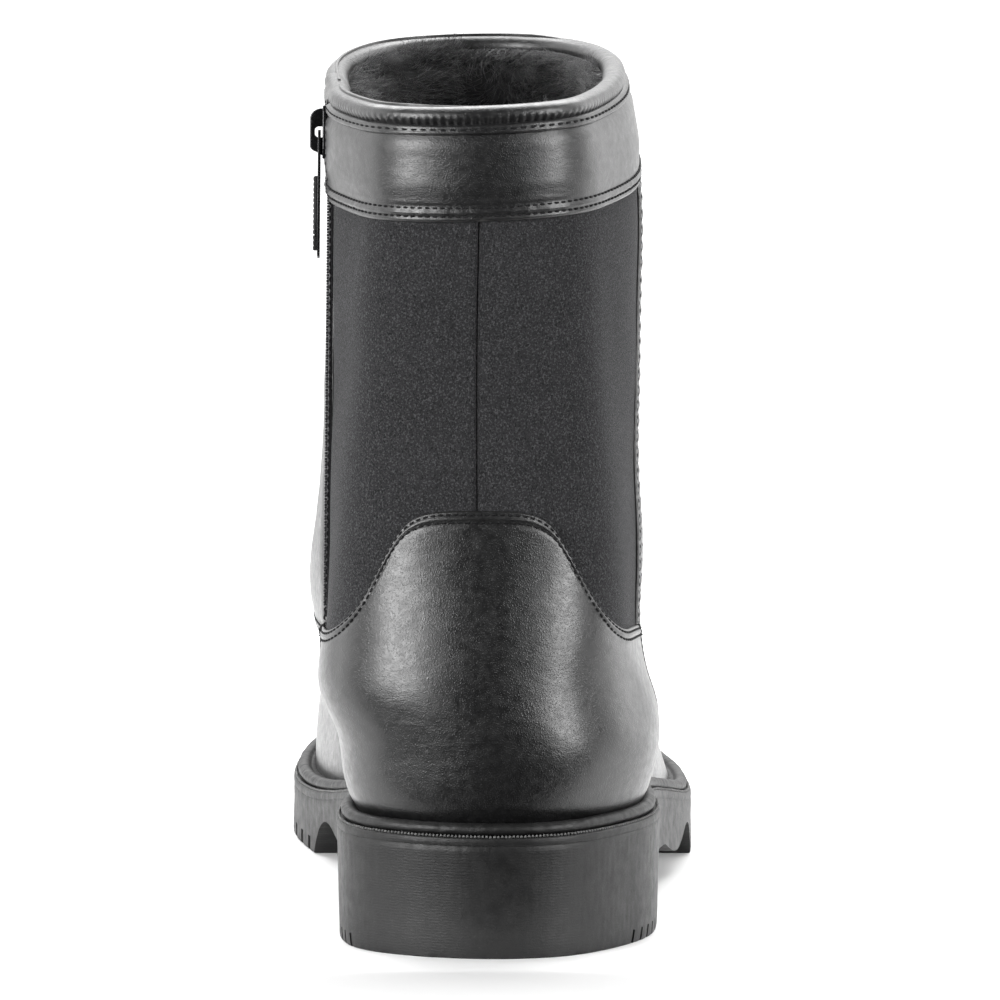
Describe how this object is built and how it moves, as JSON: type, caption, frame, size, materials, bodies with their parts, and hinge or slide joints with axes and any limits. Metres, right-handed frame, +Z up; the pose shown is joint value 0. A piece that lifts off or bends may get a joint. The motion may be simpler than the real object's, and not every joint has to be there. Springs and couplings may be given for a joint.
{
  "type": "winter boot",
  "caption": "Ankle-high winter boot for the right foot with a fur lining, a block-heeled rubber sole, a padded collar and a zip on the inner side.",
  "frame": {"origin": "on the floor, at the middle of the sole's length and width", "axes": "+X to the outer side of the right foot, +Y to the toe, +Z up"},
  "size_m": [0.1118, 0.305, 0.23],
  "materials": {
    "rubber": "moulded rubber, fine cross-hatched texture, slight sheen",
    "heel_foam": "light foam block",
    "steel": "plain spring steel strip",
    "board": "pressed fibre board",
    "fleece": "short black fleece over foam",
    "leather": "smooth black leather with fine pebble grain, soft shine",
    "shaft_fabric": "matte charcoal brushed fabric",
    "foam": "open-cell foam cord",
    "stiffener": "thermoplastic stiffener sheet",
    "fur": "deep black plush fur",
    "zip_tape": "woven black tape",
    "zip_teeth": "black moulded teeth",
    "slider_metal": "glossy black lacquered die casting",
    "grip_rubber": "ribbed soft grip"
  },
  "bodies": {
    "boot": {"outsole": "rubber", "welt": "rubber", "heel_filler": "heel_foam", "shank": "steel", "insole_board": "board", "footbed": "fleece", "heel_foxing": "leather", "vamp": "leather", "front_panel": "leather", "lateral_edge": "leather", "shaft_panel_lateral": "shaft_fabric", "shaft_panel_medial": "shaft_fabric", "collar_band": "leather", "collar_binding": "leather", "collar_foam": "foam", "heel_counter": "stiffener", "toe_puff": "stiffener", "foot_lining": "fleece", "fur_lining": "fur", "zipper_tape_rear": "zip_tape", "zipper_tape_front": "zip_tape", "zipper_guard": "leather", "zipper_teeth_rear": "zip_teeth", "zipper_teeth_front": "zip_teeth", "zipper_top_stop_rear": "zip_teeth", "zipper_top_stop_front": "zip_teeth", "zipper_bottom_stop": "zip_teeth"},
    "slider": {"zipper_slider": "slider_metal"},
    "puller": {"zipper_puller": "slider_metal", "puller_grip": "grip_rubber"}
  },
  "joints": [
    {"name": "zip_slide", "type": "slide", "parent": "boot", "child": "slider", "axis": [-0.0098, -0.0633, -0.9979], "range_m": [0, 0.116]},
    {"name": "puller_swing", "type": "hinge", "parent": "slider", "child": "puller", "pos_m": [-0.04473, -0.09113, 0.20902], "axis": [0, 0.998, -0.0633], "range_deg": [0, 160]}
  ]
}
